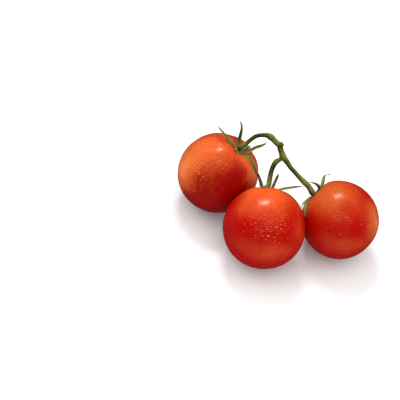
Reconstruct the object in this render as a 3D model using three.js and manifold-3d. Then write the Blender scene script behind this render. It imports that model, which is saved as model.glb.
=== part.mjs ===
// A truss of three ripe tomatoes, as cut from the vine and laid on a table.
// The main stem arches over the middle of the truss. Each fruit hangs on its own stalk, under a
// calyx of narrow green sepals, and lies on the table on a small spot that its weight has flattened.
// Millimetres, +Z up, +X to the right and +Y away from someone who stands in front of the truss.
// Places are measured from the spot where the front fruit touches the table. At the end the whole
// truss is moved, so that its origin is under the middle of its box.

import * as THREE from 'three';
import { mergeVertices } from 'three/addons/utils/BufferGeometryUtils.js';
import Module from 'manifold-3d';

const wasm = await Module();
wasm.setup();

// Driving dimensions

const SKIN_GAP = 0.4;         // air between a calyx and the skin under it
const STALK_GAP = 0.35;       // air between the end of a stalk and its calyx
const REST_DEPTH = 0.45;      // how far a ripe fruit flattens where it rests

// A fruit is given by its radius, its centre over the table, and the way its calyx points: lean is
// measured from straight up, heading from +X towards +Y. ribs are the soft lobes at its shoulder.
const FRUITS = {
  left: { radius: 33.2, x: -45, y: 49.2, lean: 27.5, heading: 22.9, ribs: 5, ribTurn: 20 },
  front: { radius: 33.2, x: 0, y: 0, lean: 62.6, heading: 98.9, ribs: 6, ribTurn: 75 },
  right: { radius: 31.7, x: 60.2, y: 26.5, lean: 70.3, heading: 152, ribs: 5, ribTurn: 50 },
};

// The shape of every fruit, as shares of its radius and as angles from the calyx, in radians
const BODY = {
  length: 1.015,              // its length along the core, before the hollow, next to its width
  pitDepth: 0.2,              // the hollow that the calyx sits in
  pitWidth: 0.27,
  ribHeight: 0.014,
  ribCentre: 0.55,
  ribWidth: 0.42,
  unevenness: 0.008,          // slow waves that keep the outline from being a perfect circle
  tipFlat: 0.015,             // the flatter blossom end
  tipWidth: 0.35,
};

const FRUIT_RINGS = 20;
const FRUIT_SIDES = 40;

// A sepal: turn is its place round the calyx, from the side of the fruit that is uppermost.
// rise is how steeply it climbs from the calyx at its root, middle and tip, and veer how far it
// turns aside by its middle and tip, all in degrees.
const SEPALS = {
  left: [
    { turn: -51, length: 24.5, width: 3.7, rise: [-41, 21, -26], veer: [34, -49] },
    { turn: -107, length: 25, width: 4.6, rise: [21, 67, 30], veer: [70, 71] },
    { turn: 158, length: 27, width: 4.8, rise: [21, 74, 12], veer: [-35, 94] },
    { turn: 132, length: 32, width: 4.3, rise: [-49, -69, -75], veer: [8, 91] },
    { turn: -150, length: 21, width: 4.4, rise: [0, -20, -50], veer: [-8, -30] },
    { turn: 30, length: 6, width: 3.8, rise: [24, 30, 34], veer: [4, 8] },
  ],
  front: [
    { turn: -51, length: 21, width: 4.6, rise: [53, 52, -11], veer: [12, 41] },
    { turn: 60, length: 19.5, width: 4.8, rise: [33, 63, 6], veer: [-25, -65] },
    { turn: 85, length: 32, width: 4.2, rise: [31, 19, 19], veer: [20, 30] },
    { turn: 152, length: 24, width: 4.6, rise: [10, -6, -36], veer: [6, 24] },
    { turn: -148, length: 16, width: 4.4, rise: [30, 34, 20], veer: [-10, -26] },
  ],
  right: [
    { turn: 49, length: 29, width: 4.4, rise: [-37, 23, -56], veer: [57, 39] },
    { turn: 23, length: 21.5, width: 3.8, rise: [-25, 39, 38], veer: [-62, -116] },
    { turn: -83, length: 25, width: 4.6, rise: [3, -29, -80], veer: [0, -44] },
    { turn: 112, length: 24, width: 4.6, rise: [10, -6, -34], veer: [-8, -28] },
    { turn: 165, length: 25, width: 4.4, rise: [16, 6, -24], veer: [10, 34] },
  ],
};

const SEPAL_STEPS = 12;
const SEPAL_TIP_WIDTH = 0.7;
const SEPAL_CHANNEL = 0.16;   // how deep the sepal is folded along its rib, as a share of its width
const SEPAL_THICK = [1.1, 0.65];      // at the root and at the tip
const SEPAL_LIFT = 0.8;       // the least height of a sepal's middle over the skin
const ROOT_REACH = 2.9;       // how far from the core of the calyx a sepal starts
const ROOT_HEIGHT = 0.9;      // and how far above the floor of the hollow

// The collar in the middle of a calyx, that the stalk ends on
const COLLAR = { topRadius: 2, topHeight: 2.1, brimRadius: 3.9, brimHeight: 1.1, sunk: 1.5 };
const COLLAR_SIDES = 16;

// The stem is three routes. Each is a list of points and, under them, the thickness in
// millimetres at shares of its length. The swollen places are the knuckles where a ripe fruit
// snaps off, the forks, and the ends that carry a calyx.
const STEM_SIDES = 10;
const STEM = {
  // from the torn end, over the fork to the front fruit, to the right fruit
  main: {
    to: 'right',
    route: [
      [1.7, 62.5, 68.4], [0.4, 62.0, 66.9], [0.3, 61.5, 65.2], [2.3, 58.9, 62.1],
      [4.3, 56.8, 59.5], [7.9, 55.2, 56.7], [12.3, 52.7, 53.1], [16.5, 51.2, 50.3],
      [21.8, 48.7, 47.3], [26.2, 46.6, 45.4], [30.6, 44.1, 43.7],
    ],
    thick: [
      [0, 4.1], [0.03, 4.5], [0.06, 4.8], [0.1, 4.8], [0.17, 5.6], [0.24, 4.6], [0.37, 3.7],
      [0.6, 3.7], [0.69, 4.6], [0.74, 4.3], [0.9, 4.9], [1, 4.0],
    ],
    steps: 24,
  },
  // from the main stem's bend to the left fruit
  left: {
    to: 'left',
    route: [
      [1.2, 62.2, 65.8], [-2.5, 63, 66.8], [-6, 64, 69.1], [-9.4, 64.8, 70.9],
      [-13, 65, 71.4], [-16.6, 64.4, 71], [-20.6, 63, 70.1], [-24.3, 60.9, 67.2], [-27.2, 58.6, 64.3],
    ],
    thick: [
      [0, 4.9], [0.14, 4.6], [0.2, 4.7], [0.26, 5.3], [0.31, 3.9], [0.4, 3.4], [0.75, 3.3],
      [0.9, 4.2], [1, 4.0],
    ],
    steps: 17,
  },
  // from the fork to the front fruit
  front: {
    to: 'front',
    route: [
      [3.6, 57.6, 60.2], [2.5, 55.3, 57.3], [-0.2, 53.7, 55.3], [-2, 49.8, 52.4],
      [-2.7, 44.4, 50.4], [-2.8, 38.1, 49.1], [-3, 32.3, 47.8],
    ],
    thick: [
      [0, 3.6], [0.1, 3.2], [0.17, 4.5], [0.25, 3.9], [0.6, 3.9], [0.85, 4.3], [1, 4.0],
    ],
    steps: 14,
  },
};
const STRAIGHT_END = 3.5;     // the last stretch of a stalk runs along the core of its fruit

const COLOURS = {
  skin: { color: 0xc5301a, roughness: 0.28, metalness: 0 },
  stem: { color: 0x4e6e2c, roughness: 0.7, metalness: 0 },
  sepal: { color: 0x5f7f38, roughness: 0.75, metalness: 0 },
};

const UP = new THREE.Vector3(0, 0, 1);
const radians = THREE.MathUtils.degToRad;

// Solids

function toSolid(geometry) {
  const bare = geometry.index ? geometry.toNonIndexed() : geometry.clone();
  bare.deleteAttribute('normal');
  bare.deleteAttribute('uv');
  const merged = mergeVertices(bare, 1e-4);
  const mesh = new wasm.Mesh({
    numProp: 3,
    vertProperties: new Float32Array(merged.attributes.position.array),
    triVerts: new Uint32Array(merged.index.array),
  });
  return new wasm.Manifold(mesh);
}

function toGeometry(solid) {
  const mesh = solid.getMesh();
  const geometry = new THREE.BufferGeometry();
  geometry.setAttribute('position', new THREE.BufferAttribute(mesh.vertProperties, 3));
  geometry.setIndex(new THREE.BufferAttribute(mesh.triVerts, 1));
  return geometry;
}

// A closed skin over rings that all have the same number of points. The second half of each ring
// is split along the other diagonal, so that the two faces of a thin blade are split alike.
function skinOver(rings, blade = false) {
  const count = rings[0].length;
  const corners = [];
  const triangle = (a, b, c) => corners.push(...a.toArray(), ...b.toArray(), ...c.toArray());
  for (let i = 0; i + 1 < rings.length; i += 1) {
    for (let j = 0; j < count; j += 1) {
      const [a, b] = [rings[i][j], rings[i][(j + 1) % count]];
      const [d, c] = [rings[i + 1][j], rings[i + 1][(j + 1) % count]];
      if (blade && j >= count / 2) {
        triangle(a, b, d);
        triangle(b, c, d);
      } else {
        triangle(a, b, c);
        triangle(a, c, d);
      }
    }
  }
  for (let j = 1; j + 1 < count; j += 1) {
    triangle(rings[0][0], rings[0][j + 1], rings[0][j]);
    const last = rings[rings.length - 1];
    triangle(last[0], last[j], last[j + 1]);
  }
  const geometry = new THREE.BufferGeometry();
  geometry.setAttribute('position', new THREE.Float32BufferAttribute(corners, 3));
  return geometry;
}

// Fruits

// The distance from a fruit's centre to its skin, at an angle from the calyx and a turn round it
function skinRadius(fruit, polar, turn) {
  const bell = (angle, centre, width) => Math.exp(-(((angle - centre) / width) ** 2));
  const side = turn - radians(fruit.ribTurn);
  const ribs = BODY.ribHeight * bell(polar, BODY.ribCentre, BODY.ribWidth) * Math.cos(fruit.ribs * side)
    * Math.min(1, polar / BODY.ribCentre);
  const uneven = BODY.unevenness * Math.sin(polar) * (Math.cos(2 * side) + 0.6 * Math.cos(3 * side + 1));
  const pit = 1 - BODY.pitDepth * bell(polar, 0, BODY.pitWidth);
  const tip = 1 - BODY.tipFlat * bell(polar, Math.PI, BODY.tipWidth);
  const round = 1 + (BODY.length - 1) * Math.cos(polar) ** 2;
  return fruit.radius * round * pit * tip * (1 + ribs + uneven);
}

// The core of a fruit points to its calyx. high and side span the plane across it, and high is the
// direction there that rises most.
function frameOf(fruit) {
  const lean = radians(fruit.lean);
  const heading = radians(fruit.heading);
  const core = new THREE.Vector3(
    Math.sin(lean) * Math.cos(heading),
    Math.sin(lean) * Math.sin(heading),
    Math.cos(lean),
  );
  const high = UP.clone().addScaledVector(core, -core.z).normalize();
  const side = core.clone().cross(high);
  return { core, high, side };
}

// The whole skin round the fruit's own centre, grown outwards by extra
function fruitSkin(fruit, frame, extra = 0) {
  const geometry = new THREE.SphereGeometry(1, FRUIT_SIDES, FRUIT_RINGS);
  const place = geometry.attributes.position;
  const core = new THREE.Vector3(0, 1, 0);
  const point = new THREE.Vector3();
  for (let i = 0; i < place.count; i += 1) {
    point.fromBufferAttribute(place, i);
    const reach = skinRadius(fruit, point.angleTo(core), Math.atan2(point.x, point.z));
    point.setLength(reach + extra);
    place.setXYZ(i, ...point.toArray());
  }
  return geometry.applyMatrix4(new THREE.Matrix4().makeBasis(frame.side, frame.core, frame.high));
}

// The fruit is set down until its lowest point is REST_DEPTH under the table, and cut level there
function makeFruit(fruit) {
  const frame = frameOf(fruit);
  const geometry = fruitSkin(fruit, frame);
  geometry.computeBoundingBox();
  const centre = new THREE.Vector3(fruit.x, fruit.y, -geometry.boundingBox.min.z - REST_DEPTH);
  const table = new THREE.BoxGeometry(4 * fruit.radius, 4 * fruit.radius, fruit.radius);
  table.translate(fruit.x, fruit.y, -fruit.radius / 2);
  const solid = toSolid(geometry.translate(centre.x, centre.y, centre.z)).subtract(toSolid(table));
  return { ...fruit, ...frame, centre, solid, pitFloor: skinRadius(fruit, 0, 0) };
}

// Calyxes

// A smooth value along a sepal from what it is at its root, middle and tip
function along(share, root, middle, tip) {
  return root * (1 - share) * (1 - 2 * share) + 4 * middle * share * (1 - share)
    + tip * share * (2 * share - 1);
}

// A sepal grows out from the collar, step by step, and lies on the skin where it would dip below it
function sepalPath(fruit, sepal) {
  const turn = radians(sepal.turn);
  const out = fruit.high.clone().multiplyScalar(Math.cos(turn)).addScaledVector(fruit.side, Math.sin(turn));
  const aside = fruit.core.clone().cross(out);
  const point = fruit.centre.clone()
    .addScaledVector(fruit.core, fruit.pitFloor + ROOT_HEIGHT)
    .addScaledVector(out, ROOT_REACH);
  const path = [];
  for (let i = 0; i <= SEPAL_STEPS; i += 1) {
    const share = i / SEPAL_STEPS;
    const rise = radians(along(share, ...sepal.rise));
    const veer = radians(along(share, 0, ...sepal.veer));
    const ahead = out.clone().multiplyScalar(Math.cos(veer)).addScaledVector(aside, Math.sin(veer));
    const heading = ahead.clone().multiplyScalar(Math.cos(rise)).addScaledVector(fruit.core, Math.sin(rise));
    const face = ahead.multiplyScalar(-Math.sin(rise)).addScaledVector(fruit.core, Math.cos(rise));
    if (i > 0) {
      point.addScaledVector(heading, sepal.length / SEPAL_STEPS);
    }
    const from = point.clone().sub(fruit.centre);
    const polar = from.angleTo(fruit.core);
    const round = Math.atan2(from.dot(fruit.side), from.dot(fruit.high));
    const least = skinRadius(fruit, polar, round) + SEPAL_LIFT;
    if (from.length() < least) {
      point.copy(fruit.centre).add(from.setLength(least));
    }
    path.push({ point: point.clone(), face });
  }
  return path;
}

// A sepal is narrow at its root, widest in its lower half, and pointed
function sepalWidth(sepal, share) {
  const shoulder = 0.55 + 0.45 * Math.sin((Math.PI / 2) * Math.min(1, share / 0.4));
  return (sepal.width - SEPAL_TIP_WIDTH) * shoulder * (1 - share) ** 0.65 + SEPAL_TIP_WIDTH;
}

// The blade's section is a shallow channel, folded along the rib
function makeSepal(fruit, sepal) {
  const path = sepalPath(fruit, sepal);
  const rings = path.map(({ point, face }, i) => {
    const share = i / SEPAL_STEPS;
    const before = path[Math.max(0, i - 1)].point;
    const after = path[Math.min(SEPAL_STEPS, i + 1)].point;
    const tangent = after.clone().sub(before).normalize();
    const normal = face.clone().addScaledVector(tangent, -face.dot(tangent)).normalize();
    const across = tangent.clone().cross(normal);
    const half = sepalWidth(sepal, share) / 2;
    const thick = THREE.MathUtils.lerp(...SEPAL_THICK, share);
    const fold = 2 * half * SEPAL_CHANNEL * Math.min(1, share / 0.25);
    const section = [
      [-half, thick / 2 + fold], [0, thick / 2], [half, thick / 2 + fold],
      [half * 0.8, fold - thick / 2], [0, -thick / 2], [-half * 0.8, fold - thick / 2],
    ];
    return section.map(([x, y]) => point.clone().addScaledVector(across, x).addScaledVector(normal, y));
  });
  return toSolid(skinOver(rings, true));
}

function makeCollar(fruit) {
  const profile = [
    [0, -COLLAR.sunk], [COLLAR.brimRadius * 0.8, -COLLAR.sunk], [COLLAR.brimRadius, 0],
    [COLLAR.brimRadius, COLLAR.brimHeight], [COLLAR.topRadius, COLLAR.topHeight], [0, COLLAR.topHeight],
  ].map(([x, y]) => new THREE.Vector2(x, y));
  const geometry = new THREE.LatheGeometry(profile, COLLAR_SIDES);
  const place = new THREE.Matrix4().makeBasis(fruit.side, fruit.core, fruit.high);
  place.setPosition(fruit.centre.clone().addScaledVector(fruit.core, fruit.pitFloor));
  return toSolid(geometry.applyMatrix4(place));
}

function makeCalyx(fruit, sepals) {
  const grown = fruitSkin(fruit, fruit, SKIN_GAP).translate(...fruit.centre.toArray());
  const green = sepals.reduce((sum, sepal) => sum.add(makeSepal(fruit, sepal)), makeCollar(fruit));
  return green.subtract(toSolid(grown));
}

// Stem

function thicknessAt(table, share) {
  const next = table.findIndex(([at]) => at >= share);
  if (next <= 0) {
    return table[0][1];
  }
  const [from, a] = table[next - 1];
  const [to, b] = table[next];
  return THREE.MathUtils.lerp(a, b, THREE.MathUtils.smoothstep(share, from, to));
}

function makeStalk(stalk, fruit) {
  const end = fruit.pitFloor + COLLAR.topHeight + STALK_GAP;
  const points = stalk.route.map((p) => new THREE.Vector3(...p));
  for (const height of [end + STRAIGHT_END, end]) {
    points.push(fruit.centre.clone().addScaledVector(fruit.core, height));
  }
  const curve = new THREE.CatmullRomCurve3(points, false, 'centripetal');
  const frames = curve.computeFrenetFrames(stalk.steps, false);
  const rings = [];
  for (let i = 0; i <= stalk.steps; i += 1) {
    const share = i / stalk.steps;
    const centre = curve.getPointAt(share);
    const radius = thicknessAt(stalk.thick, share) / 2;
    const ring = [];
    for (let j = 0; j < STEM_SIDES; j += 1) {
      const angle = (2 * Math.PI * j) / STEM_SIDES;
      ring.push(centre.clone()
        .addScaledVector(frames.normals[i], radius * Math.cos(angle))
        .addScaledVector(frames.binormals[i], radius * Math.sin(angle)));
    }
    rings.push(ring);
  }
  return toSolid(skinOver(rings));
}

// Assembly

function material({ color, roughness, metalness }) {
  return new THREE.MeshStandardMaterial({ color, roughness, metalness });
}

const truss = new THREE.Group();

function addPiece(name, solid, colours) {
  const mesh = new THREE.Mesh(toGeometry(solid), material(colours));
  mesh.name = name;
  truss.add(mesh);
}

const fruits = Object.fromEntries(Object.entries(FRUITS).map(([place, fruit]) => [place, makeFruit(fruit)]));
for (const [place, fruit] of Object.entries(fruits)) {
  addPiece(`tomato_${place}`, fruit.solid, COLOURS.skin);
  addPiece(`calyx_${place}`, makeCalyx(fruit, SEPALS[place]), COLOURS.sepal);
}
const stalks = Object.values(STEM).map((stalk) => makeStalk(stalk, fruits[stalk.to]));
addPiece('stem', stalks.reduce((sum, stalk) => sum.add(stalk)), COLOURS.stem);

const box = new THREE.Box3().setFromObject(truss);
const middle = box.getCenter(new THREE.Vector3());
truss.position.set(-middle.x, -middle.y, 0);

export default truss;
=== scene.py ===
# %% [markdown]
# # A truss of ripe tomatoes
# Three tomatoes hang on one forked green stem, and the truss lies on a table. The construction
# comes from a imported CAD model, and this notebook gives it its looks. The CAD solids are faceted
# and plain, so each one is replaced by a modelled piece that stands in the same place: smooth
# fruits, calyxes with folded sepals, and a stem with ribs and knuckles. Fine hairs and dew follow.

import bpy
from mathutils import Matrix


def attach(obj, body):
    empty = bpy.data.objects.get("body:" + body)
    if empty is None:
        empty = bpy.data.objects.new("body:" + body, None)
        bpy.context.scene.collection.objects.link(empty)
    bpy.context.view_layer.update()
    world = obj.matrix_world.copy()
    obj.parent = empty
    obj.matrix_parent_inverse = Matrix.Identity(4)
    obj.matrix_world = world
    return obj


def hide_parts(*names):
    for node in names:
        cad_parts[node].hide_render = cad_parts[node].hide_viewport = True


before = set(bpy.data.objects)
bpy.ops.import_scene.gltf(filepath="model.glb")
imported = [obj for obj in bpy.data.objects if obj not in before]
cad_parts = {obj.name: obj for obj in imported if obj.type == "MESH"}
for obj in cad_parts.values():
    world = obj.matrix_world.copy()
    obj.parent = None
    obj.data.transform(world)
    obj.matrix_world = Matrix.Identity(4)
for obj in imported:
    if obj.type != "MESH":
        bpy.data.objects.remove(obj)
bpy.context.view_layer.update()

# %% [markdown]
# ## Tools for the bench
# Blender's operators act on whatever is selected, so before each step everything is deselected and
# only the piece at hand is selected. All sizes below are written in millimetres, as in the CAD
# source, and MM turns them into Blender's metres. Everything that is drawn at random has a seed, so
# it comes out the same each time.

# %% Helpers
import math
import random

import bmesh
import bpy
from mathutils import Matrix, Vector, noise

MM = 0.001
UP = Vector((0, 0, 1))


def take(piece):
    """Make this the only selected object."""
    bpy.ops.object.select_all(action="DESELECT")
    piece.select_set(True)
    bpy.context.view_layer.objects.active = piece
    return piece


def apply_modifier(piece, kind, **settings):
    """Add a modifier, set it and apply it."""
    take(piece)
    modifier = piece.modifiers.new(kind.lower(), kind)
    for name, value in settings.items():
        setattr(modifier, name, value)
    bpy.ops.object.modifier_apply(modifier=modifier.name)


def settle(piece, place):
    """Put a piece in its place and write that place into its mesh."""
    take(piece)
    piece.matrix_world = place
    bpy.ops.object.transform_apply(location=True, rotation=True, scale=True)


def facing(first, second, third):
    """A turn that sends X, Y and Z to three directions."""
    return Matrix((first, second, third)).transposed().to_4x4()


def hand_over(piece, name, material):
    """Name a finished piece, give it its material and let it ride on the truss."""
    piece.name = name
    piece.data.name = name
    piece.data.materials.clear()
    piece.data.materials.append(material)
    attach(piece, "root")
    print(f"{name}: {len(piece.data.polygons)} faces")


# %% [markdown]
# ## The camera
# It looks down on the truss from the front with a long lens, so that the fruits keep their round
# outlines. The picture is turned a little, because the truss hangs across it at a slant. HOME is
# the spot where the front fruit touches the table. Places on the truss are measured from it.

# %% Camera
HOME = Vector((-7.03, -24.56, 0))
CAMERA_SPOT = Vector((-55.0, -735.0, 851.6))
CAMERA_DOWN = math.radians(47.5)
CAMERA_ROLL = math.radians(11.75)
LENS, SENSOR = 122.98, 36
FARTHEST = 20000

level = Vector((1, 0, 0))
back = Vector((0, -math.cos(CAMERA_DOWN), math.sin(CAMERA_DOWN)))
over = back.cross(level)
right = level * math.cos(CAMERA_ROLL) + over * math.sin(CAMERA_ROLL)
top = over * math.cos(CAMERA_ROLL) - level * math.sin(CAMERA_ROLL)

take(next(iter(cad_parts.values())))
bpy.ops.object.camera_add()
camera = bpy.context.object
camera.matrix_world = Matrix.Translation((HOME + CAMERA_SPOT) * MM) @ facing(right, top, back)
camera.data.lens = LENS
camera.data.sensor_width = SENSOR
camera.data.clip_end = FARTHEST * MM
bpy.context.scene.camera = camera
print("camera at", [round(value, 3) for value in camera.location])

# %% [markdown]
# ## The shape of a fruit
# A vine tomato is nearly a ball. It has a hollow where the calyx sits, soft lobes round that hollow
# and a slightly flatter blossom end. The same few numbers as in the CAD source describe it: how far
# the skin is from the middle at each angle from the calyx. Everything that sits on the skin, such as
# a sepal or a drop of dew, asks this one rule where the skin is.

# %% Fruit measures
FRUITS = {
    "left": {
        "radius": 33.2, "x": -45.0, "y": 49.2, "lean": 27.5, "heading": 22.9, "ribs": 5, "rib_turn": 20,
    },
    "front": {
        "radius": 33.2, "x": 0.0, "y": 0.0, "lean": 62.6, "heading": 98.9, "ribs": 6, "rib_turn": 75,
    },
    "right": {
        "radius": 31.7, "x": 60.2, "y": 26.5, "lean": 70.3, "heading": 152.0, "ribs": 5, "rib_turn": 50,
    },
}
PIT_DEPTH, PIT_WIDTH = 0.2, 0.27
BLOSSOM_DEPTH, BLOSSOM_WIDTH = 0.015, 0.35
STRETCH = 0.015
LOBE_HEIGHT, LOBE_ANGLE, LOBE_WIDTH = 0.014, 0.55, 0.42
WAVE_HEIGHT = 0.008
REST_DEPTH = 0.45
BUMP_ROOM = 0.03


def bell(angle, centre, width):
    """1 at the centre and nearly 0 from two widths on."""
    return math.exp(-(((angle - centre) / width) ** 2))


def skin_profile(polar):
    """The share of the radius at an angle from the calyx, before lobes."""
    pit = 1 - PIT_DEPTH * bell(polar, 0, PIT_WIDTH)
    blossom_end = 1 - BLOSSOM_DEPTH * bell(polar, math.pi, BLOSSOM_WIDTH)
    return (1 + STRETCH * math.cos(polar) ** 2) * pit * blossom_end


def skin_bumps(fruit, polar, turn):
    """Lobes at the shoulder and slow waves all over, as a share of the radius."""
    side = turn - math.radians(fruit["rib_turn"])
    ribs = LOBE_HEIGHT * bell(polar, LOBE_ANGLE, LOBE_WIDTH) * math.cos(fruit["ribs"] * side)
    waves = WAVE_HEIGHT * math.sin(polar) * (math.cos(2 * side) + 0.6 * math.cos(3 * side + 1))
    return ribs * min(1, polar / LOBE_ANGLE) + waves


def skin_radius(fruit, polar, turn):
    """How far the skin is from the middle of the fruit."""
    return fruit["radius"] * skin_profile(polar) * (1 + skin_bumps(fruit, polar, turn))


def fruit_axes(fruit):
    """The side that rises most, the side across, and the core, which points to the calyx."""
    lean, heading = math.radians(fruit["lean"]), math.radians(fruit["heading"])
    core = Vector((math.sin(lean) * math.cos(heading), math.sin(lean) * math.sin(heading), math.cos(lean)))
    high = (UP - core * core.z).normalized()
    return high, core.cross(high), core


print("pit floor in mm:", {place: round(skin_radius(fruit, 0, 0), 1) for place, fruit in FRUITS.items()})

# %% [markdown]
# ## Rounding the fruits
# A UV sphere is a good start, because its poles become the calyx end and the blossom end, and its
# own UV map then runs from one to the other. In edit mode each ring of points is scaled about the
# middle to the share that the rule gives, which sinks the hollow. The lobes aren't rings, so they
# are painted as a vertex group and raised by a Displace modifier. One level of subdivision smooths
# the result.

# %% Model the fruits
RINGS = 48


def scale_rings(piece):
    """Scale each ring of the sphere about its middle to the fruit's profile."""
    bpy.ops.object.mode_set(mode="EDIT")
    bpy.ops.mesh.select_mode(type="VERT")
    mesh = bmesh.from_edit_mesh(piece.data)
    ring_of = {point.index: round(point.co.angle(UP) / math.pi * RINGS) for point in mesh.verts}
    for ring in range(RINGS + 1):
        for point in mesh.verts:
            point.select = ring_of[point.index] == ring
        bmesh.update_edit_mesh(piece.data)
        share = skin_profile(math.pi * ring / RINGS) * (1 - BUMP_ROOM)
        bpy.ops.transform.resize(value=(share, share, share), center_override=(0, 0, 0))
    bpy.ops.object.mode_set(mode="OBJECT")


def raise_lobes(piece, fruit):
    """Paint the lobes as a vertex group and push them out."""
    lobes = piece.vertex_groups.new(name="lobes")
    for point in piece.data.vertices:
        polar, turn = point.co.angle(UP), math.atan2(point.co.y, point.co.x)
        lobes.add([point.index], 0.5 + skin_bumps(fruit, polar, turn) / (2 * BUMP_ROOM), "REPLACE")
    strength = 2 * BUMP_ROOM * fruit["radius"] * MM
    apply_modifier(piece, "DISPLACE", vertex_group="lobes", strength=strength, mid_level=0)
    piece.vertex_groups.clear()


def model_fruit(fruit):
    """A fruit round the origin, with its calyx end up."""
    bpy.ops.object.select_all(action="DESELECT")
    bpy.ops.mesh.primitive_uv_sphere_add(segments=64, ring_count=RINGS, radius=fruit["radius"] * MM)
    piece = bpy.context.object
    scale_rings(piece)
    raise_lobes(piece, fruit)
    apply_modifier(piece, "SUBSURF", levels=1, render_levels=1)
    return piece


fruits = {place: model_fruit(fruit) for place, fruit in FRUITS.items()}
print("fruit widths in mm:", {place: round(piece.dimensions.x / MM, 1) for place, piece in fruits.items()})

# %% [markdown]
# ## Setting the fruits down
# Each fruit leans its own way, so it is turned by its core and lowered until it presses a little
# into the table. A ripe fruit flattens there, so what is below the table is cut off by a bisect,
# which also fills the cut.

# %% Lay the fruits on the table
def lay_down(piece, fruit):
    """Turn a fruit its own way, set it on the table and cut off what is below."""
    high, side, core = fruit_axes(fruit)
    turned = facing(high, side, core)
    lowest = min((turned @ point.co).z for point in piece.data.vertices)
    centre = HOME * MM + Vector((fruit["x"] * MM, fruit["y"] * MM, -lowest - REST_DEPTH * MM))
    settle(piece, Matrix.Translation(centre) @ turned)
    bpy.ops.object.mode_set(mode="EDIT")
    bpy.ops.mesh.select_all(action="SELECT")
    bpy.ops.mesh.bisect(plane_co=(0, 0, 0), plane_no=(0, 0, 1), use_fill=True, clear_inner=True)
    bpy.ops.object.mode_set(mode="OBJECT")
    bpy.ops.object.shade_smooth()
    fruit.update(centre=centre / MM, high=high, side=side, core=core)


for place, piece in fruits.items():
    lay_down(piece, FRUITS[place])
    print(place, "middle in mm:", [round(value, 1) for value in FRUITS[place]["centre"]])

# %% [markdown]
# ## Colour tools
# A procedural material is a small network of nodes. These helpers add a node with its settings and
# join sockets, so that the cells below can read like a recipe.

# %% Node helpers
def add_node(tree, kind, values=None, **settings):
    """A node with its settings. Each input gets a value, or a link where a socket is given."""
    made = tree.nodes.new(kind)
    for name, value in settings.items():
        setattr(made, name, value)
    for name, value in (values or {}).items():
        if isinstance(value, bpy.types.NodeSocket):
            tree.links.new(value, made.inputs[name])
        else:
            made.inputs[name].default_value = value
    return made


def add_mix(tree, factor, low, high):
    """Mix two colours. A Mix node has a set of sockets for each kind, so they go by number."""
    return add_node(tree, "ShaderNodeMix", {0: factor, 6: low, 7: high}, data_type="RGBA").outputs[2]


def add_ramp(tree, factor, low, high):
    """Stretch the values between low and high to the full range, softly."""
    values = {0: factor, 1: low, 2: high, 3: 0.0, 4: 1.0}
    return add_node(tree, "ShaderNodeMapRange", values, interpolation_type="SMOOTHSTEP").outputs[0]


def add_math(tree, operation, first, second, use_clamp=True):
    """One step of arithmetic, kept between 0 and 1 if it is clamped."""
    values = {0: first, 1: second}
    return add_node(tree, "ShaderNodeMath", values, operation=operation, use_clamp=use_clamp).outputs[0]


def plus(tree, first, second):
    return add_math(tree, "ADD", first, second)


def minus(tree, first, second):
    return add_math(tree, "SUBTRACT", first, second)


def times(tree, first, second):
    return add_math(tree, "MULTIPLY", first, second)


def add_noise(tree, place, scale, detail, roughness=0.5):
    """Clouds with values round 0.5."""
    values = {"Vector": place, "Scale": scale, "Detail": detail, "Roughness": roughness}
    return add_node(tree, "ShaderNodeTexNoise", values).outputs[0]


def add_cells(tree, place, scale):
    """A cell pattern: how far each point is from the middle of its cell, and a colour for the cell."""
    return add_node(tree, "ShaderNodeTexVoronoi", {"Vector": place, "Scale": scale}).outputs


def read_paint(tree, name):
    """A number that was painted on the mesh."""
    return add_node(tree, "ShaderNodeAttribute", attribute_name=name).outputs["Fac"]


def add_bump(tree, height, reach):
    """Bumps for a shader's Normal, with the reach in millimetres."""
    values = {"Height": height, "Distance": reach * MM, "Strength": 0.6}
    return add_node(tree, "ShaderNodeBump", values).outputs[0]


def start_group(name, inputs, outputs):
    """A node group with named sockets. inputs maps a name to its kind and first value."""
    group = bpy.data.node_groups.new(name, "ShaderNodeTree")
    for label, (kind, value) in inputs.items():
        socket = group.interface.new_socket(label, in_out="INPUT", socket_type=kind)
        socket.default_value = value
    for label, kind in outputs.items():
        group.interface.new_socket(label, in_out="OUTPUT", socket_type=kind)
    return group, group.nodes.new("NodeGroupInput").outputs, group.nodes.new("NodeGroupOutput").inputs


def add_group(tree, group, values):
    """A node group in a material, with the material's own values."""
    return add_node(tree, "ShaderNodeGroup", values, node_tree=group).outputs


def start_material(name, **shader):
    """A material with only its Principled shader, and the values that are the same all over."""
    material = bpy.data.materials.new(name)
    material.use_nodes = True
    principled = material.node_tree.nodes["Principled BSDF"]
    for label, value in shader.items():
        principled.inputs[label.replace("_", " ")].default_value = value
    return material, material.node_tree, principled


COLOUR, NUMBER = "NodeSocketColor", "NodeSocketFloat"
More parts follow.
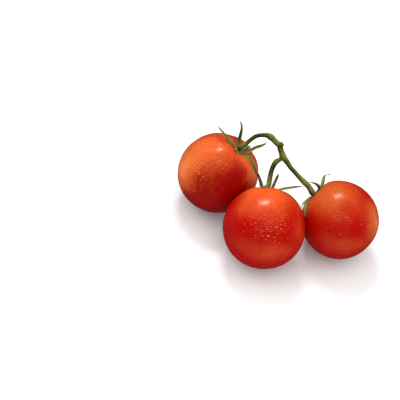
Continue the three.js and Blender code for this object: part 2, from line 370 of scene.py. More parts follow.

# %% [markdown]
# ## Unripe sides, painted light, and where a fruit is misted
# Ripening isn't even: some sides stay orange while the rest turns red. The same orange patches also
# paint light on the skin: a sheen on top, rims of light at the edges and, low down, the reflection
# of the table. The water mist also lies on some sides only. Both are painted as a number at every
# point of the mesh. A patch is a direction from the middle of the fruit, how far it spreads sideways
# and up, in degrees, and a strength. Seeded noise shifts its edge by a few degrees, so that no patch
# is a neat oval.

# %% Paint the patches
# Each fruit's first patch is on top, partly an unripe side and partly a painted sheen of the ceiling. The
# others are painted rim light at the edges and, low on the front and right fruits, a painted reflection of
# the table.
UNRIPE_AND_LIT_PATCHES = {
    "left": [
        ((-0.5, -0.13, 0.85), 40, 39, 0.85),
        ((-0.88, -0.36, 0.28), 27, 35, 1.3),
        ((0.9, -0.15, 0.4), 18, 30, 1.3),
    ],
    "front": [
        ((-0.1, 0.2, 0.97), 44, 44, 0.8),
        ((0.82, -0.3, 0.5), 20, 26, 0.35),
        ((0.12, -0.96, 0.2), 58, 19, 0.4),
    ],
    "right": [
        ((-0.4, 0.05, 0.92), 42, 42, 0.8),
        ((0.9, -0.2, 0.38), 22, 33, 1.3),
        ((0.25, -0.94, 0.14), 52, 18, 0.4),
    ],
}
MIST_PATCHES = {
    "left": [((-0.72, -0.3, 0.62), 36, 36, 1.0), ((-0.1, -0.15, 0.98), 16, 16, 1.0)],
    "front": [((-0.02, -0.55, 0.83), 26, 26, 1.0), ((-0.08, -0.1, 0.99), 13, 13, 1.0)],
    "right": [((-0.25, -0.1, 0.96), 17, 17, 1.0)],
}
EDGE_STRAY = 6
COARSE_NOISE, FINE_NOISE, FINE_SHARE = 2.5, 6, 0.6
PATCH_SEED = 1


def edge_stray(towards):
    """How far the edges of the patches stray in a direction, in degrees."""
    fine_stray = noise.noise_vector(towards * FINE_NOISE) * FINE_SHARE
    return (noise.noise_vector(towards * COARSE_NOISE) + fine_stray) * EDGE_STRAY


def patch_value(towards, patches):
    """The strength of the patches here, joined, fading to 0 well outside their uneven edges."""
    towards = towards.normalized()
    stray = edge_stray(towards)
    values = []
    for middle, wide, tall, strength in patches:
        ahead = Vector(middle).normalized()
        across = UP.cross(ahead).normalized()
        reach = towards.dot(ahead)
        sideways = math.degrees(math.atan2(towards.dot(across), reach))
        upward = math.degrees(math.atan2(towards.dot(ahead.cross(across)), reach))
        values.append(strength * bell(sideways + stray.x, 0, wide) * bell(upward + stray.y, 0, tall))
    return math.hypot(*values)


def paint(piece, name, value_at):
    """Store a number at every point of a piece. Places are given in millimetres."""
    layer = piece.data.attributes.new(name, "FLOAT", "POINT")
    for item, vertex in zip(layer.data, piece.data.vertices):
        item.value = value_at(vertex.co / MM)


noise.seed_set(PATCH_SEED)
for place, piece in fruits.items():
    middle = FRUITS[place]["centre"]
    # The orange number holds both the unripe sides and the painted light.
    paint(piece, "orange", lambda point: patch_value(point - middle, UNRIPE_AND_LIT_PATCHES[place]))
    paint(piece, "mist", lambda point: patch_value(point - middle, MIST_PATCHES[place]))
print("painted ripeness and mist on", len(fruits), "fruits")

# %% [markdown]
# ## Tomato skin
# Ripe skin is a thin waxy layer over red flesh that lets light in, so the shader has subsurface
# light and a weak clear coat. Its colour goes from deep red to orange, by the painted ripeness and
# the light painted with it, by the sphere's own UV map, which tells how far a point is from the
# calyx, and by clouds of noise. Where the paint is strongest it turns to gold, which is painted rim
# light. Fine golden dots lie in the skin. Where there is mist, small beads of a cell pattern lift the
# surface, and they are painted a little paler than the skin, for the light that they gather.

# %% Skin node group
# The second gold is the painted glow of light in the mist beads.
DOT_GOLD, BEAD_GLOW_GOLD = (0.9, 0.42, 0.09, 1), (0.95, 0.36, 0.09, 1)
skin_group, given, result = start_group(
    "ripe_skin",
    {
        "Ripe": (COLOUR, (0.5, 0.01, 0.004, 1)),
        "Orange": (COLOUR, (0.75, 0.12, 0.02, 1)),
        "Gold": (COLOUR, (0.85, 0.27, 0.08, 1)),
        "Dots": (NUMBER, 0.15),
        "Cloud": (NUMBER, 0.4),
    },
    {"Color": COLOUR, "Roughness": NUMBER, "Height": NUMBER},
)
object_place = add_node(skin_group, "ShaderNodeTexCoord").outputs["Object"]
skin_map = add_node(skin_group, "ShaderNodeUVMap", uv_map="UVMap").outputs[0]
towards_calyx = add_node(skin_group, "ShaderNodeSeparateXYZ", {0: skin_map}).outputs[1]
stretched = {"Vector": skin_map, "Scale": (46, 5, 1)}
streak_place = add_node(skin_group, "ShaderNodeMapping", stretched).outputs[0]
cloud = add_noise(skin_group, object_place, 60, 5)
streak = add_noise(skin_group, streak_place, 1, 4)
cloud_lift = times(skin_group, minus(skin_group, cloud, 0.44), given["Cloud"])
streak_lift = times(skin_group, minus(skin_group, streak, 0.48), 0.35)
# Painted light comes in here with the ripeness: a sheen on top, rim light and the table's reflection.
patch = read_paint(skin_group, "orange")
shoulder = times(skin_group, add_ramp(skin_group, towards_calyx, 0.62, 1.0), 0.35)
paler = plus(skin_group, times(skin_group, patch, 0.85), shoulder)
paler = plus(skin_group, paler, plus(skin_group, cloud_lift, streak_lift))
paler = add_ramp(skin_group, paler, 0.08, 0.85)
ground = add_mix(skin_group, paler, given["Ripe"], given["Orange"])
# Gold, where the patches are strongest, is painted rim light.
ground = add_mix(skin_group, add_ramp(skin_group, patch, 0.85, 1.6), ground, given["Gold"])

dot = add_ramp(skin_group, add_cells(skin_group, object_place, 900)["Distance"], 0.34, 0.1)
dot_strength = times(skin_group, plus(skin_group, paler, 0.06), given["Dots"])
dotted = add_mix(skin_group, times(skin_group, dot, dot_strength), ground, DOT_GOLD)

mist = read_paint(skin_group, "mist")
bead_cells = add_cells(skin_group, object_place, 640)
bead_draw = add_node(skin_group, "ShaderNodeSeparateXYZ", {0: bead_cells["Color"]}).outputs[0]
some = add_ramp(skin_group, plus(skin_group, bead_draw, mist), 0.95, 1.25)
bead = times(skin_group, add_ramp(skin_group, bead_cells["Distance"], 0.46, 0.1), some)
# The beads are painted paler, for the light that they gather as small lenses.
bead_glow = times(skin_group, bead, times(skin_group, paler, 0.3))
wet = add_mix(skin_group, bead_glow, dotted, BEAD_GLOW_GOLD)

fine = add_noise(skin_group, object_place, 900, 3)
height = plus(skin_group, times(skin_group, fine, 0.4), times(skin_group, bead, 0.8))
skin_group.links.new(wet, result["Color"])
skin_group.links.new(add_ramp(skin_group, fine, -0.9, 3.4), result["Roughness"])
skin_group.links.new(height, result["Height"])
print("skin group sockets:", [socket.name for socket in skin_group.interface.items_tree])

# %% Skin materials
SKIN_BUMP = 0.3
# Gold in each skin is painted rim light. The left fruit's Ripe red is darker than the others, which paints
# the shade that lies on its lower half.
SKINS = {
    "left": {
        "Ripe": (0.27, 0.0005, 0.0003, 1), "Orange": (0.62, 0.09, 0.018, 1), "Gold": (0.84, 0.26, 0.08, 1),
        "Dots": 0.3, "Cloud": 0.5,
    },
    "front": {
        "Ripe": (0.38, 0.001, 0.0005, 1), "Orange": (0.64, 0.082, 0.014, 1), "Gold": (0.70, 0.15, 0.05, 1),
        "Dots": 0.2, "Cloud": 0.5,
    },
    "right": {
        "Ripe": (0.38, 0.003, 0.001, 1), "Orange": (0.50, 0.08, 0.014, 1), "Gold": (0.72, 0.20, 0.08, 1),
        "Dots": 0.2, "Cloud": 0.5,
    },
}


def skin_material(place, values):
    """The skin of one fruit, in its own colours."""
    material, tree, shader = start_material(
        f"skin_{place}",
        Subsurface_Weight=0.3,
        Subsurface_Radius=(1.0, 0.2, 0.06),
        Subsurface_Scale=0.005,
        Specular_Tint=(1.0, 0.82, 0.6, 1),
        Coat_Weight=0.1,
        Coat_Roughness=0.16,
        Coat_IOR=1.4,
        IOR=1.38,
    )
    pattern = add_group(tree, skin_group, values)
    tree.links.new(pattern["Color"], shader.inputs["Base Color"])
    tree.links.new(pattern["Roughness"], shader.inputs["Roughness"])
    tree.links.new(add_bump(tree, pattern["Height"], SKIN_BUMP), shader.inputs["Normal"])
    return material


for place, piece in fruits.items():
    hand_over(piece, f"fruit_{place}", skin_material(place, SKINS[place]))
    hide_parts(f"tomato_{place}")

# %% [markdown]
# ## The routes of the sepals
# A calyx is a star of narrow green sepals. They have dried a little, so each one lifts, turns aside
# and curls in its own way. The CAD source grows a sepal step by step: rise is how steeply it climbs
# from the calyx at its root, middle and tip, and veer how far it turns aside by its middle and tip.
# The same rule here gives the same routes, so these sepals follow the CAD ones. Twist is how far the
# blade rolls about its route by its middle and tip. All of these are in degrees.

# %% Sepal routes
SEPAL_VALUES = ("turn", "length", "width", "rise", "veer", "twist")
SEPAL_ROWS = {
    "left": [
        (-51, 24.5, 3.7, (-41, 21, -26), (34, -49), (-35, -45)),
        (-107, 25, 4.6, (21, 67, 30), (70, 71), (-55, -60)),
        (158, 27, 4.8, (21, 74, 12), (-35, 94), (60, 20)),
        (132, 32, 4.3, (-49, -69, -75), (8, 91), (40, 50)),
        (-150, 21, 4.4, (0, -20, -50), (-8, -30), (0, 0)),
        (30, 6, 3.8, (24, 30, 34), (4, 8), (0, 0)),
    ],
    "front": [
        (-51, 21, 4.6, (53, 52, -11), (12, 41), (0, 0)),
        (60, 19.5, 4.8, (33, 63, 6), (-25, -65), (0, 0)),
        (85, 32, 4.2, (31, 19, 19), (20, 30), (55, 55)),
        (152, 24, 4.6, (10, -6, -36), (6, 24), (0, 0)),
        (-148, 16, 4.4, (30, 34, 20), (-10, -26), (0, 0)),
    ],
    "right": [
        (49, 29, 4.4, (-37, 23, -56), (57, 39), (40, 0)),
        (23, 21.5, 3.8, (-25, 39, 38), (-62, -116), (0, 0)),
        (-83, 25, 4.6, (3, -29, -80), (0, -44), (-50, -60)),
        (112, 24, 4.6, (10, -6, -34), (-8, -28), (0, 0)),
        (165, 25, 4.4, (16, 6, -24), (10, 34), (0, 0)),
    ],
}
SEPALS = {place: [dict(zip(SEPAL_VALUES, row)) for row in rows] for place, rows in SEPAL_ROWS.items()}
SEPAL_STEPS = 12
ROOT_REACH, ROOT_HEIGHT, SEPAL_LIFT = 2.9, 0.9, 0.8
TIP_WIDTH = 0.4


def blend_along(share, root, middle, tip):
    """A smooth value from what it is at the root, middle and tip."""
    from_root = root * (1 - share) * (1 - 2 * share)
    from_middle = 4 * middle * share * (1 - share)
    return from_root + from_middle + tip * share * (2 * share - 1)


def sepal_route(fruit, sepal):
    """Points along a sepal in the fruit's own axes, in millimetres from its middle."""
    turn = math.radians(sepal["turn"])
    out = Vector((math.cos(turn), math.sin(turn), 0))
    aside = UP.cross(out)
    point = UP * (skin_radius(fruit, 0, 0) + ROOT_HEIGHT) + out * ROOT_REACH
    route = []
    for step in range(SEPAL_STEPS + 1):
        share = step / SEPAL_STEPS
        rise = math.radians(blend_along(share, *sepal["rise"]))
        veer = math.radians(blend_along(share, 0, *sepal["veer"]))
        ahead = out * math.cos(veer) + aside * math.sin(veer)
        if step:
            point = point + (ahead * math.cos(rise) + UP * math.sin(rise)) * sepal["length"] / SEPAL_STEPS
        least = skin_radius(fruit, point.angle(UP), math.atan2(point.y, point.x)) + SEPAL_LIFT
        if point.length < least:
            point = point.normalized() * least
        route.append(point.copy())
    return route


def sepal_width(sepal, share):
    """A sepal is narrow at its root, widest in its lower half, and pointed."""
    shoulder = 0.55 + 0.45 * math.sin(math.pi / 2 * min(1, share / 0.4))
    return (sepal["width"] - TIP_WIDTH) * shoulder * (1 - share) ** 0.65 + TIP_WIDTH


print("sepals:", {place: len(sepals) for place, sepals in SEPALS.items()})

# %% [markdown]
# ## Blades swept along a curve
# A blade has the same folded section all the way and only gets narrower, so it is a curve with a
# bevel profile: a Bezier curve follows the route, its radius at each point sets the width, and the
# profile is a thin folded strip with a rib underneath. The curve lies in the fruit's own axes, with
# its twist mode set to Z up, so that the fold opens away from the fruit until the sepal's own twist
# rolls it. A little random tilt and width keep the blades from looking machined.

# %% Sweep the sepals
BLADE_SECTION = [
    (-1.0, 0.34), (-0.5, 0.13), (0.0, 0.0), (0.5, 0.13), (1.0, 0.34),
    (0.94, 0.2), (0.45, -0.05), (0.12, -0.14), (0.0, -0.24), (-0.12, -0.14), (-0.45, -0.05), (-0.94, 0.2),
]
WIDTH_RANGE, TILT_STRAY, BLADE_SEED = (0.94, 1.05), 0.06, 5
MERGE_WITHIN = 0.005


def draw_outline(name, corners):
    """A flat closed curve that others are swept with."""
    bpy.ops.object.select_all(action="DESELECT")
    bpy.ops.curve.primitive_bezier_circle_add()
    outline = bpy.context.object
    outline.name = name
    outline.data.dimensions = "2D"
    outline.data.splines.clear()
    loop = outline.data.splines.new("POLY")
    loop.points.add(len(corners) - 1)
    loop.use_cyclic_u = True
    for point, (x, y) in zip(loop.points, corners):
        point.co = (x * MM, y * MM, 0, 1)
    return outline


def sweep(route, widths, outline, tilts=None, steps=3):
    """Sweep an outline along a smooth curve through the route and make the result a mesh."""
    bpy.ops.object.select_all(action="DESELECT")
    bpy.ops.curve.primitive_bezier_curve_add()
    swept = bpy.context.object
    swept.data.dimensions = "3D"
    swept.data.twist_mode = "Z_UP"
    swept.data.resolution_u = steps
    swept.data.bevel_mode = "OBJECT"
    swept.data.bevel_object = outline
    swept.data.use_fill_caps = True
    line = swept.data.splines[0]
    line.bezier_points.add(len(route) - 2)
    for index, point in enumerate(line.bezier_points):
        point.co = route[index] * MM
        point.handle_left_type = point.handle_right_type = "AUTO"
        point.radius = widths[index]
        point.tilt = tilts[index] if tilts else 0
    bpy.ops.object.convert(target="MESH")
    bpy.ops.object.mode_set(mode="EDIT")
    bpy.ops.mesh.select_all(action="SELECT")
    bpy.ops.mesh.remove_doubles(threshold=MERGE_WITHIN * MM)
    bpy.ops.mesh.normals_make_consistent(inside=False)
    bpy.ops.object.mode_set(mode="OBJECT")
    return swept


def fruit_place(fruit):
    """The matrix that brings a piece from the fruit's own axes to the truss."""
    return Matrix.Translation(fruit["centre"] * MM) @ facing(fruit["high"], fruit["side"], fruit["core"])


blade_outline = draw_outline("blade_outline", BLADE_SECTION)
blade_draw = random.Random(BLADE_SEED)
shares = [step / SEPAL_STEPS for step in range(SEPAL_STEPS + 1)]
blades = {place: [] for place in FRUITS}
for place, sepals in SEPALS.items():
    for sepal in sepals:
        route = sepal_route(FRUITS[place], sepal)
        widths = [sepal_width(sepal, share) / 2 * blade_draw.uniform(*WIDTH_RANGE) for share in shares]
        twists = [math.radians(blend_along(share, 0, *sepal["twist"])) for share in shares]
        tilts = [twist + blade_draw.gauss(0, TILT_STRAY) for twist in twists]
        blade = sweep(route, widths, blade_outline, tilts)
        settle(blade, fruit_place(FRUITS[place]))
        blades[place].append(blade)
print("blades swept:", sum(len(made) for made in blades.values()))

# %% [markdown]
# ## The collar
# The sepals grow from a small fleshy collar, and the stalk ends on it. It starts as a short
# cylinder. Its upper face is inset and drawn up into a neck, and a bevel rounds all its edges.
# Blades and collar are then joined by a Boolean, so that a calyx is one closed skin.

# %% Model the collars and join each calyx
COLLAR_SIDES = 24
COLLAR_RADIUS, COLLAR_HEIGHT, COLLAR_SINK = 3.8, 2.4, 0.2
NECK_INSET, NECK_RISE, COLLAR_ROUNDING = 1.5, 1.05, 0.35


def select_top(mesh):
    """Select the round face on top of the cylinder."""
    for face in mesh.faces:
        face.select = face.normal.z > 0.9 and len(face.verts) == COLLAR_SIDES
    mesh.select_flush_mode()


def model_collar(fruit):
    """A collar on its fruit, with the neck that the stalk ends on."""
    bpy.ops.object.select_all(action="DESELECT")
    bpy.ops.mesh.primitive_cylinder_add(
        vertices=COLLAR_SIDES,
        radius=COLLAR_RADIUS * MM,
        depth=COLLAR_HEIGHT * MM,
        location=(0, 0, -COLLAR_SINK * MM),
    )
    piece = bpy.context.object
    bpy.ops.object.transform_apply(location=True)
    bpy.ops.object.mode_set(mode="EDIT")
    bpy.ops.mesh.select_mode(type="FACE")
    mesh = bmesh.from_edit_mesh(piece.data)
    select_top(mesh)
    bmesh.update_edit_mesh(piece.data)
    bpy.ops.mesh.inset(thickness=NECK_INSET * MM)
    bpy.ops.transform.translate(value=(0, 0, NECK_RISE * MM))
    bpy.ops.object.mode_set(mode="OBJECT")
    apply_modifier(piece, "BEVEL", width=COLLAR_ROUNDING * MM, segments=3, limit_method="ANGLE")
    settle(piece, fruit_place(fruit) @ Matrix.Translation(UP * skin_radius(fruit, 0, 0) * MM))
    return piece


def join_solids(first, others):
    """Join closed skins to one, and remove the ones that went into it."""
    for other in others:
        apply_modifier(first, "BOOLEAN", operation="UNION", object=other, solver="MANIFOLD")
        bpy.data.objects.remove(other)
    return first


calyxes = {place: join_solids(model_collar(FRUITS[place]), blades[place]) for place in FRUITS}
for place, piece in calyxes.items():
    take(piece)
    bpy.ops.object.shade_smooth_by_angle(angle=math.radians(50))
    print(place, "calyx box in mm:", [round(side / MM, 1) for side in piece.dimensions])

# %% [markdown]
# ## The stem
# The stem is three round stalks that grew together. Each is a curve through the CAD source's own
# points, and its radius swells at the knuckles, at the fork and at the calyx. The outline has
# shallow ribs. Where stalks meet, plant tissue flows together, so a voxel remesh makes one skin
# of the three and a smooth modifier softens the joints.

# %% Stem routes
STALKS = {
    "right": {
        "route": [
            (1.7, 62.5, 68.4), (0.4, 62.0, 66.9), (0.3, 61.5, 65.2), (2.3, 58.9, 62.1),
            (4.3, 56.8, 59.5), (7.9, 55.2, 56.7), (12.3, 52.7, 53.1), (16.5, 51.2, 50.3),
            (21.8, 48.7, 47.3), (26.2, 46.6, 45.4), (30.6, 44.1, 43.7),
        ],
        "thick": [4.2, 4.6, 4.8, 4.8, 5.6, 4.4, 3.7, 3.7, 3.8, 4.7, 4.4, 5.0, 3.9],
    },
    "left": {
        "route": [
            (1.2, 62.2, 65.8), (-2.5, 63.0, 66.8), (-6.0, 64.0, 69.1), (-9.4, 64.8, 70.9),
            (-13.0, 65.0, 71.4), (-16.6, 64.4, 71.0), (-20.6, 63.0, 70.1), (-24.3, 60.9, 67.2),
            (-27.2, 58.6, 64.3),
        ],
        "thick": [4.9, 4.6, 4.7, 5.3, 3.7, 3.4, 3.3, 3.3, 3.5, 4.2, 3.9],
    },
    "front": {
        "route": [
            (3.6, 57.6, 60.2), (2.5, 55.3, 57.3), (-0.2, 53.7, 55.3), (-2.0, 49.8, 52.4),
            (-2.7, 44.4, 50.4), (-2.8, 38.1, 49.1), (-3.0, 32.3, 47.8),
        ],
        "thick": [3.6, 3.2, 4.4, 3.9, 3.9, 3.9, 4.1, 4.3, 3.9],
    },
}
STALK_END, STRAIGHT_END = 2.45, 3.5
STALK_CORNERS, STALK_RIBS, STALK_RIB_HEIGHT = 42, 7, 0.05
SKIN_GRID = 0.28


def stalk_route(place):
    """A stalk's points, with the last ones on the core of its fruit."""
    fruit = FRUITS[place]
    reach = skin_radius(fruit, 0, 0) + STALK_END
    ends = [fruit["centre"] + fruit["core"] * (reach + extra) for extra in (STRAIGHT_END, 0)]
    return [HOME + Vector(point) for point in STALKS[place]["route"]] + ends


for place in STALKS:
    print(place, "stalk has", len(stalk_route(place)), "points and", len(STALKS[place]["thick"]), "widths")

# %% Sweep and fuse the stem
def ribbed_corner(angle):
    """A corner of a round outline with shallow ribs."""
    reach = 1 + STALK_RIB_HEIGHT * math.cos(STALK_RIBS * angle)
    return reach * math.cos(angle), reach * math.sin(angle)


stalk_angles = [2 * math.pi * step / STALK_CORNERS for step in range(STALK_CORNERS)]
stalk_outline = draw_outline("stalk_outline", [ribbed_corner(angle) for angle in stalk_angles])
stalks = []
for place in STALKS:
    route = stalk_route(place)
    stalks.append(sweep(route, [width / 2 for width in STALKS[place]["thick"]], stalk_outline, steps=6))
bpy.ops.object.select_all(action="DESELECT")
for stalk in stalks:
    stalk.select_set(True)
bpy.context.view_layer.objects.active = stalks[0]
bpy.ops.object.join()
stem = bpy.context.object
apply_modifier(stem, "REMESH", mode="VOXEL", voxel_size=SKIN_GRID * MM)
apply_modifier(stem, "SMOOTH", factor=0.5, iterations=4)
take(stem)
bpy.ops.object.shade_smooth()
for outline in (blade_outline, stalk_outline):
    bpy.data.objects.remove(outline)
print("stem box in mm:", [round(side / MM, 1) for side in stem.dimensions])

# %% [markdown]
# ## Where the green changes
# A torn end dries brown, a knuckle is paler and yellower than the stalk beside it, and the tips of
# sepals dry first. Light and shade are painted too. Each green piece carries numbers at every point
# of its mesh for this, and the material reads them as attributes: dry, pale, deep for painted shade
# on stretches of the stem, one for how far a point faces up, which paints the undersides in shade and
# the tops in light, and rim for the sharp edges of the sepals, which get a painted highlight.

# %% Paint the green pieces
DRY_SPOTS = [((2.1, 62.6, 68.8), 2.4)]
PALE_SPOTS = [
    ((-8.6, 64.8, 71.2), 3.5),
    ((-4.5, 63.5, 68.4), 5),
    ((-0.6, 53.4, 55.1), 3.5),
    ((26.6, 46.4, 45.3), 4.5),
    ((4.3, 56.8, 59.5), 5),
]
# Painted shade: stretches of the stem that lie in shadow are made darker.
SHADED_SPOTS = [((-20.0, 63.5, 70.0), 11), ((-2.4, 46.0, 51.0), 11), ((-12.0, 64.8, 71.2), 3.5)]
SEPAL_DRY_FROM, SEPAL_DRY_REACH, SEPAL_PALE_REACH = 19, 8, 9


def nearness(point, spots):
    """1 at the middle of a spot and 0 outside it."""
    return max(max(0.0, 1 - (point - (HOME + Vector(spot))).length / reach) for spot, reach in spots)


def sepal_dryness(distance):
    """0 on most of a calyx and 1 at its far tips, by the distance from its root."""
    return min(1, max(0, (distance - SEPAL_DRY_FROM) / SEPAL_DRY_REACH))


def paint_top_light(piece):
    """Store how far each point of a piece faces up, from 0 underneath to 1 on top, for painted shade and
    light.
    """
    values = [0.5 + 0.5 * vertex.normal.z for vertex in piece.data.vertices]
    piece.data.attributes.new("painted_top_light", "FLOAT", "POINT").data.foreach_set("value", values)


def paint_rims(piece):
    """Store how sharply the skin folds at each point, which marks the rims and ribs of the blades."""
    mesh = bmesh.new()
    mesh.from_mesh(piece.data)
    values = [max(edge.calc_face_angle(0.0) for edge in point.link_edges) / math.pi for point in mesh.verts]
    mesh.free()
    piece.data.attributes.new("rim", "FLOAT", "POINT").data.foreach_set("value", values)


for piece in [stem, *calyxes.values()]:
    paint_top_light(piece)
for piece in calyxes.values():
    paint_rims(piece)
paint(stem, "dry", lambda point: nearness(point, DRY_SPOTS))
paint(stem, "pale", lambda point: nearness(point, PALE_SPOTS))
paint(stem, "deep", lambda point: nearness(point, SHADED_SPOTS))
for place, piece in calyxes.items():
    root = FRUITS[place]["centre"] + FRUITS[place]["core"] * (skin_radius(FRUITS[place], 0, 0) + 1)
    paint(piece, "dry", lambda point: sepal_dryness((point - root).length))
    paint(piece, "pale", lambda point: max(0, 1 - (point - root).length / SEPAL_PALE_REACH))
print("painted", 1 + len(calyxes), "green pieces")

# %% [markdown]
# ## Green tissue
# Stem and sepals share one node group. It paints shade underneath and light on top, as light from
# above falls, from a deep green to a light one, broken up by a fine grain. Pale and dry places come
# from the painted numbers, and so do the light rims of the sepals, which are a painted highlight, and
# the painted shade on parts of the stem. The grain also gives the bumps, which look velvety, as hairs
# do that are too small to model.

# %% Green node group
# The rim green is a painted highlight along the sepals' edges.
PALE_GREEN, RIM_HIGHLIGHT_GREEN = (0.34, 0.33, 0.06, 1), (0.36, 0.37, 0.14, 1)
DRY_BROWN = (0.11, 0.06, 0.025, 1)
green_group, given, result = start_group(
    "green_tissue",
    {
        "Deep": (COLOUR, (0.02, 0.03, 0.002, 1)),
        "Light": (COLOUR, (0.16, 0.17, 0.04, 1)),
        "Lift": (NUMBER, 0.0),
    },
    {"Color": COLOUR, "Height": NUMBER},
)
object_place = add_node(green_group, "ShaderNodeTexCoord").outputs["Object"]
grain = add_noise(green_group, object_place, 700, 5, 0.65)
mottle = add_noise(green_group, object_place, 130, 3)
mottle = plus(green_group, times(green_group, grain, 0.55), times(green_group, mottle, 0.45))
# Painted light and shade: the faces that look up are lighter, the undersides deeper green.
lit = times(green_group, read_paint(green_group, "painted_top_light"), 0.62)
lit = plus(green_group, lit, times(green_group, mottle, 0.5))
# Painted shade on the stretches of the stem that lie in shadow.
lit = minus(green_group, lit, times(green_group, read_paint(green_group, "deep"), 0.35))
lit = add_math(green_group, "ADD", lit, given["Lift"], use_clamp=False)
leafy = add_mix(green_group, add_ramp(green_group, lit, 0.56, 1.06), given["Deep"], given["Light"])
pale = times(green_group, read_paint(green_group, "pale"), 0.45)
paled = add_mix(green_group, pale, leafy, PALE_GREEN)
# A painted highlight along the rims of the sepals, where fine hairs catch the light.
rim = times(green_group, add_ramp(green_group, read_paint(green_group, "rim"), 0.2, 0.8), 0.7)
rimmed = add_mix(green_group, rim, paled, RIM_HIGHLIGHT_GREEN)
dry = add_ramp(green_group, read_paint(green_group, "dry"), 0.1, 0.9)
dried = add_mix(green_group, dry, rimmed, DRY_BROWN)
green_group.links.new(dried, result["Color"])
green_group.links.new(mottle, result["Height"])
print("green group sockets:", [socket.name for socket in green_group.interface.items_tree])

# %% Green materials
GREEN_BUMP = 0.4
GREENS = {
    "stem_green": {"Deep": (0.014, 0.021, 0.001, 1), "Light": (0.17, 0.18, 0.025, 1), "Lift": 0.0},
    "sepal_green": {"Deep": (0.016, 0.026, 0.001, 1), "Light": (0.16, 0.175, 0.028, 1), "Lift": 0.08},
}


def green_material(name):
    """Green tissue painted deep in shade underneath and light where it faces up. Lift makes more of it
    light.
    """
    material, tree, shader = start_material(
        name,
        Roughness=0.55,
        Specular_IOR_Level=0.3,
        Subsurface_Weight=0.12,
        Subsurface_Radius=(0.4, 0.7, 0.1),
        Subsurface_Scale=0.001,
        Sheen_Weight=0.05,
        Sheen_Roughness=0.4,
        Sheen_Tint=(0.85, 0.95, 0.6, 1),
    )
    pattern = add_group(tree, green_group, GREENS[name])
    tree.links.new(pattern["Color"], shader.inputs["Base Color"])
    tree.links.new(add_bump(tree, pattern["Height"], GREEN_BUMP), shader.inputs["Normal"])
    return material


hand_over(stem, "stem_skin", green_material("stem_green"))
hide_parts("stem")
sepal_green = green_material("sepal_green")
for place, piece in calyxes.items():
    hand_over(piece, f"sepals_{place}", sepal_green)
    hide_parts(f"calyx_{place}")

# %% [markdown]
# ## Fine hairs
# Stem and sepals are covered with short light hairs, which catch the light as a soft fringe. A hair
# is a slender spike with three sides. Spots are drawn at random over the surface, weighted by the
# area of the faces, and the spikes are written into one mesh for each green piece. The draws are
# seeded, so they fall in the same places each run.

# %% Grow the hairs
SPIKE_FACES = ((0, 2, 1), (0, 1, 3), (1, 2, 3), (2, 0, 3))
HAIR_ROOT, HAIR_RADIUS = 0.04, 0.022
STEM_HAIRS, STEM_HAIR_LENGTH = 9000, 0.8
SEPAL_HAIRS, SEPAL_HAIR_LENGTH = 4200, 0.5
HAIR_LEAN, SHORTEST_SHARE = 0.35, 0.45
STEM_HAIR_SEED, SEPAL_HAIR_SEED = 11, 21


def mesh_from(name, corners, faces):
    """A new piece from its corners and faces."""
    mesh = bpy.data.meshes.new(name)
    mesh.from_pydata(corners, [], faces)
    made = bpy.data.objects.new(name, mesh)
    bpy.context.scene.collection.objects.link(made)
    return made


def scatter(piece, count, draw):
    """Random places on a piece, with the normal there."""
    piece.data.calc_loop_triangles()
    triangles = list(piece.data.loop_triangles)
    picks = draw.choices(triangles, weights=[triangle.area for triangle in triangles], k=count)
    for triangle in picks:
        a, b, c = (piece.data.vertices[index].co for index in triangle.vertices)
        u, v = sorted((draw.random(), draw.random()))
        yield a * u + b * (v - u) + c * (1 - v), Vector(triangle.normal)


def spike(foot, along, thick, draw):
    """The four corners of a spike."""
    across = along.orthogonal().normalized()
    other = along.normalized().cross(across)
    spin = draw.random() * math.tau
    ring = [
        foot + (across * math.cos(spin + third) + other * math.sin(spin + third)) * thick
        for third in (0, math.tau / 3, 2 * math.tau / 3)
    ]
    return ring + [foot + along]


def grow_hairs(piece, name, count, longest, seed):
    """Hairs all over a green piece, as one mesh."""
    draw = random.Random(seed)
    corners, faces = [], []
    for foot, normal in scatter(piece, count, draw):
        lean = Vector([draw.gauss(0, HAIR_LEAN) for _ in range(3)])
        along = (normal + lean).normalized() * draw.uniform(SHORTEST_SHARE, 1) * longest * MM
        start = len(corners)
        corners += spike(foot - normal * HAIR_ROOT * MM, along, HAIR_RADIUS * MM, draw)
        faces += [tuple(start + corner for corner in face) for face in SPIKE_FACES]
    hand_over(mesh_from(name, corners, faces), name, hair_white)


hair_white, _, _ = start_material(
    "hair_white",
    Base_Color=(0.30, 0.31, 0.08, 1),
    Roughness=0.6,
    Subsurface_Weight=0.3,
    Subsurface_Scale=0.0005,
)
grow_hairs(stem, "hairs_stem", STEM_HAIRS, STEM_HAIR_LENGTH, STEM_HAIR_SEED)
for seed, (place, piece) in enumerate(calyxes.items(), start=SEPAL_HAIR_SEED):
    grow_hairs(piece, f"hairs_{place}", SEPAL_HAIRS, SEPAL_HAIR_LENGTH, seed)

# %% [markdown]
# ## Dew
# The fruits have been misted with water. A drop on waxy skin is a low dome, so one dome is
# modelled, half a sphere that is flattened, and copied to each place in its own size. A mist is a
# direction from the fruit's middle, how far the drops stray from it, how many are tried and the
# radius of the largest.

# %% Model one drop
DROP_FOOT, DROP_HEIGHT = -0.15, 0.62

